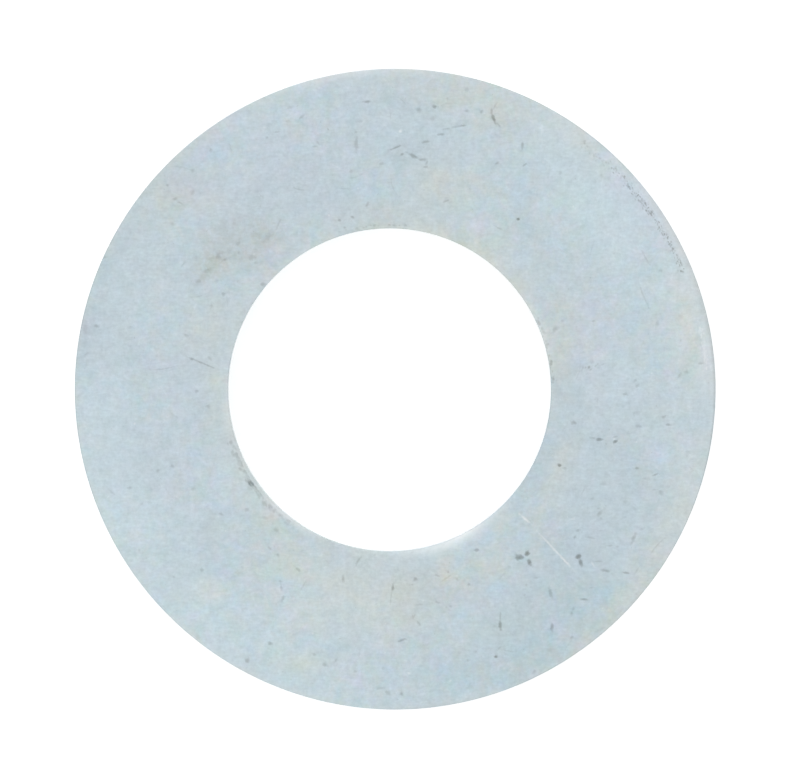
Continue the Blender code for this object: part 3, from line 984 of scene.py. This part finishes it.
def plated_steel():
    """Bright zinc under a clear blue passivate, clouded, stained at its edges and finely grained."""
    material = bpy.data.materials.new("plated_steel")
    material.use_nodes = True
    material.node_tree.nodes.clear()
    n = Nodes(material.node_tree)
    output = n.add("ShaderNodeOutputMaterial")
    shader = n.add("ShaderNodeBsdfPrincipled")
    n.put(output.inputs["Surface"], shader.outputs[0])
    place = n.add("ShaderNodeTexCoord").outputs["Object"]
    land, torn, dark, bright = (n.attribute(name) for name in ("land", "torn", "dark", "bright"))
    wall = n.spread(land, 0.5, 1.0)

    mottle = n.noise(place, MOTTLE_SIZE, 4.0, 0.66, 0.3, seed=2.0)
    grain = n.noise(place, GRAIN_SIZE, 3.0, 0.6, seed=3.0)
    tears = n.noise(place, TEAR_SIZE, 4.0, 0.65, 0.8, seed=8.0)
    drawn = n.noise(n.stretch(place, (1.0, 1.0, 0.05)), DRAWN_SIZE, 3.0, 0.65, seed=7.0)

    colour = clouded(n, place, tinted(n, place), mottle, grain)
    colour = n.mix(n.math('MULTIPLY', torn, 0.35), colour, TORN_COLOUR)
    colour = n.mix(torn, colour, n.spread(tears, 0.35, 0.62, 0.70, 1.12), 'MULTIPLY')
    colour = n.mix(wall, colour, n.spread(drawn, 0.35, 0.65, 0.84, 1.08), 'MULTIPLY')
    colour = n.mix(n.math('MULTIPLY', dark, 0.525), colour, DARK_COLOUR)
    # lighter marks, and the painted highlight where the rolled edges reflect the light
    colour = n.mix(bright, colour, BRIGHT_COLOUR)
    n.put(shader.inputs["Base Color"], colour)

    shader.inputs["Metallic"].default_value = 1.0
    rough = n.spread(mottle, 0.3, 0.7, 0.38, 0.48)
    rough = n.math('ADD', rough, n.math('MULTIPLY', torn, 0.12))
    rough = n.math('SUBTRACT', rough, n.math('MULTIPLY', land, 0.08))
    rough = n.math('ADD', rough, n.math('MULTIPLY', dark, 0.2), clamp=True)
    n.put(shader.inputs["Roughness"], rough)

    # fine grain everywhere, drawn lines down the sheared walls, coarse grain where they are torn
    height = n.math('ADD', n.math('MULTIPLY', grain, 0.35), n.math('MULTIPLY', mottle, 0.5))
    height = n.math('ADD', height, n.math('MULTIPLY', drawn, wall))
    height = n.math('ADD', height, n.math('MULTIPLY', n.math('MULTIPLY', tears, torn), 3.0))
    bump = n.add("ShaderNodeBump")
    bump.inputs["Strength"].default_value = 0.5
    bump.inputs["Distance"].default_value = BUMP_HEIGHT
    n.put(bump.inputs["Height"], height)
    n.put(shader.inputs["Normal"], bump.outputs[0])
    return material


def plated_washer():
    """The visible washer, in place of the CAD ring."""
    marks = MARKS + scattered_marks() + crease_marks()
    mesh = ring_mesh()
    refine_at_marks(mesh, marks)
    press_marks(mesh, marks)
    tint_plate(mesh)
    mesh.shade_smooth()
    mesh.materials.append(plated_steel())
    washer = bpy.data.objects.new(PIECE, mesh)
    bpy.context.scene.collection.objects.link(washer)
    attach(washer, "root")
    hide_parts(NODE)
    return washer


# ---------------------------------------------------------------- studio

CAMERA_LENS = 400.0
CAMERA_SENSOR = 36.0
FRAME_WIDTH = 33.263 * MM       # width of the view at the washer's upper face
CAMERA_TILT = math.radians(1.0)
CAMERA_TOWARDS = math.radians(35.0)
CAMERA_AIM = Vector((-0.003 * MM, 0.222 * MM, HIGH.z))
FLOOR_SIZE = 40.0
FLOOR_GAP = 0.004 * MM          # keeps the washer's underside clear of the floor
FLOOR_GLOW = 0.45
FLOOR_COLOUR = (0.93, 0.93, 0.93, 1.0)
WHITE = (1.0, 1.0, 1.0, 1.0)
TENT_LEVEL = 0.985              # brightness of the light tent overhead
TENT_FALL = 0.22                # how much dimmer it is at the horizon
TENT_GAP = 165.0                # azimuth in degrees where its walls are dimmer still, on both sides
TENT_GAP_DEPTH = 0.40
WINDOW_TOWARDS = (116.0, 36.0)  # azimuth and elevation of the tent's bright side, in degrees
WINDOW_LEVEL = 0.35
WINDOW_FOCUS = 9.0


def toward(azimuth, elevation):
    """The direction at an azimuth and an elevation, both in radians."""
    return Vector((math.cos(azimuth) * math.cos(elevation),
                   math.sin(azimuth) * math.cos(elevation),
                   math.sin(elevation)))


def floor():
    """A plain white table top, faintly lit from within, that runs out to the horizon."""
    mesh = bpy.data.meshes.new("floor")
    shape = bmesh.new()
    bmesh.ops.create_grid(shape, x_segments=1, y_segments=1, size=0.5 * FLOOR_SIZE)
    shape.to_mesh(mesh)
    shape.free()
    material = bpy.data.materials.new("white_table")
    material.use_nodes = True
    shader = material.node_tree.nodes["Principled BSDF"]
    shader.inputs["Base Color"].default_value = FLOOR_COLOUR
    shader.inputs["Roughness"].default_value = 0.9
    shader.inputs["Specular IOR Level"].default_value = 0.2
    shader.inputs["Emission Color"].default_value = WHITE
    shader.inputs["Emission Strength"].default_value = FLOOR_GLOW
    mesh.materials.append(material)
    item = bpy.data.objects.new("floor", mesh)
    item.location.z = LOW.z - FLOOR_GAP
    bpy.context.scene.collection.objects.link(item)


def light_tent():
    """Soft white light from all round, dimmer low down, with one broad brighter side."""
    world = bpy.data.worlds.new("light_tent")
    bpy.context.scene.world = world
    world.use_nodes = True
    world.node_tree.nodes.clear()
    n = Nodes(world.node_tree)
    output = n.add("ShaderNodeOutputWorld")
    background = n.add("ShaderNodeBackground")
    n.put(output.inputs["Surface"], background.outputs[0])
    direction = n.add("ShaderNodeTexCoord").outputs["Generated"]
    parts = n.add("ShaderNodeSeparateXYZ")
    n.put(parts.inputs[0], direction)
    even = n.spread(parts.outputs["Z"], 0.0, 1.0, TENT_LEVEL - TENT_FALL, TENT_LEVEL)
    across = n.add("ShaderNodeVectorMath", operation='DOT_PRODUCT')
    n.put(across.inputs[0], direction)
    across.inputs[1].default_value = toward(math.radians(TENT_GAP), 0.0)
    towards_gap = n.math('POWER', n.math('ABSOLUTE', across.outputs["Value"]), 4.0)
    even = n.math('MULTIPLY', even, n.spread(towards_gap, 0.0, 1.0, 1.0, 1.0 - TENT_GAP_DEPTH))
    azimuth, elevation = (math.radians(v) for v in WINDOW_TOWARDS)
    facing = n.add("ShaderNodeVectorMath", operation='DOT_PRODUCT')
    n.put(facing.inputs[0], direction)
    facing.inputs[1].default_value = toward(azimuth, elevation)
    glow = n.math('POWER', n.math('MAXIMUM', facing.outputs["Value"], 0.0), WINDOW_FOCUS)
    n.put(background.inputs["Strength"], n.math('ADD', even, n.math('MULTIPLY', glow, WINDOW_LEVEL)))
    background.inputs["Color"].default_value = WHITE


def camera():
    """Looks straight down on the washer, a touch from its upper right."""
    data = bpy.data.cameras.new("camera")
    data.lens = CAMERA_LENS
    data.sensor_width = CAMERA_SENSOR
    distance = FRAME_WIDTH * CAMERA_LENS / CAMERA_SENSOR
    data.clip_start = 0.1 * distance
    data.clip_end = 100.0
    towards = Vector((math.sin(CAMERA_TILT) * math.cos(CAMERA_TOWARDS),
                      math.sin(CAMERA_TILT) * math.sin(CAMERA_TOWARDS),
                      math.cos(CAMERA_TILT)))
    item = bpy.data.objects.new("camera", data)
    item.rotation_mode = 'QUATERNION'
    item.rotation_quaternion = Vector((0.0, 0.0, 1.0)).rotation_difference(towards)
    item.location = CAMERA_AIM + towards * distance
    bpy.context.scene.collection.objects.link(item)
    bpy.context.scene.camera = item


plated_washer()
floor()
light_tent()
camera()
bpy.context.scene.view_settings.view_transform = 'Standard'
